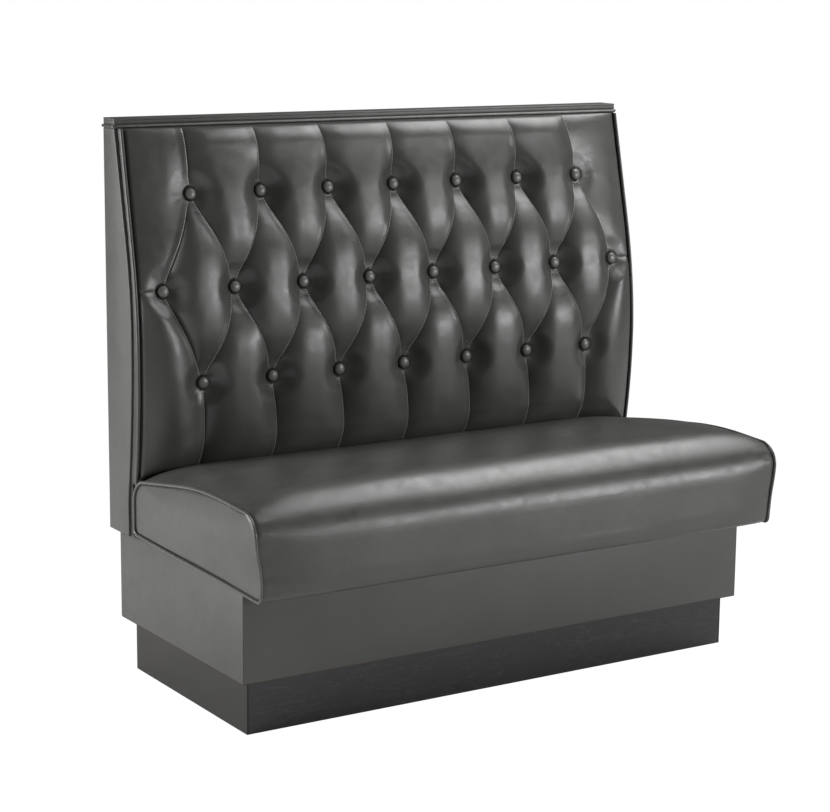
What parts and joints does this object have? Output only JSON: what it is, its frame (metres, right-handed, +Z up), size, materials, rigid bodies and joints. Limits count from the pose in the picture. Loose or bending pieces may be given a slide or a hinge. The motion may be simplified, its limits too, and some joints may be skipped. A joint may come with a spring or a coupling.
{
  "type": "restaurant booth seating",
  "caption": "Single restaurant booth with a diamond-tufted, buttoned back, a crowned seat cushion on a covered box, and a recessed toe kick.",
  "frame": {"origin": "on the floor, under the middle of the booth's bounding box", "axes": "+X along the bench to the sitter's left, +Y towards the booth's rear, +Z up"},
  "size_m": [1.1768, 0.61, 1.07],
  "materials": {
    "vinyl": "dark warm-grey upholstery vinyl, fine grain, soft gloss",
    "plywood": "plain unfinished plywood and softwood",
    "foam": "upholstery foam",
    "laminate": "blue-black decorative laminate with fine pale veins",
    "side_laminate": "plain dark warm-grey laminate",
    "steel": "zinc-plated steel",
    "twine": "waxed tufting twine"
  },
  "bodies": {
    "root": {"back_bottom_rail": "plywood", "back_button_ties": "twine", "back_buttons": "vinyl", "back_foam_pad": "foam", "back_inner_board": "plywood", "back_left_boxing": "vinyl", "back_left_end_board": "plywood", "back_left_end_cover": "vinyl", "back_left_welt": "vinyl", "back_middle_rail": "plywood", "back_rib_1": "plywood", "back_rib_2": "plywood", "back_rib_3": "plywood", "back_rib_4": "plywood", "back_right_boxing": "vinyl", "back_right_end_board": "plywood", "back_right_end_cover": "vinyl", "back_right_welt": "vinyl", "back_top_rail": "plywood", "back_tufted_cushion": "vinyl", "cap_board": "plywood", "cap_cover": "vinyl", "cap_welt": "vinyl", "joining_bolts": "steel", "joining_nuts": "steel", "joining_washers": "steel", "kick_cross_members": "plywood", "kick_front_board": "plywood", "kick_front_laminate": "laminate", "kick_left_board": "plywood", "kick_left_laminate": "side_laminate", "kick_rear_board": "plywood", "kick_right_board": "plywood", "kick_right_laminate": "side_laminate", "kick_screws": "steel", "outside_back_panel": "vinyl", "seat_box_bottom": "plywood", "seat_box_corner_blocks": "plywood", "seat_box_divider": "plywood", "seat_box_front_cleat": "plywood", "seat_box_front_cover": "vinyl", "seat_box_front_panel": "plywood", "seat_box_left_cleat": "plywood", "seat_box_left_cover": "vinyl", "seat_box_left_panel": "plywood", "seat_box_rear_panel": "plywood", "seat_box_rear_rail": "plywood", "seat_box_right_cleat": "plywood", "seat_box_right_cover": "vinyl", "seat_box_right_panel": "plywood", "seat_cover": "vinyl", "seat_deck": "plywood", "seat_foam_core": "foam", "seat_left_end_panel": "vinyl", "seat_left_welt": "vinyl", "seat_right_end_panel": "vinyl", "seat_right_welt": "vinyl", "seat_screws": "steel"}
  },
  "joints": []
}
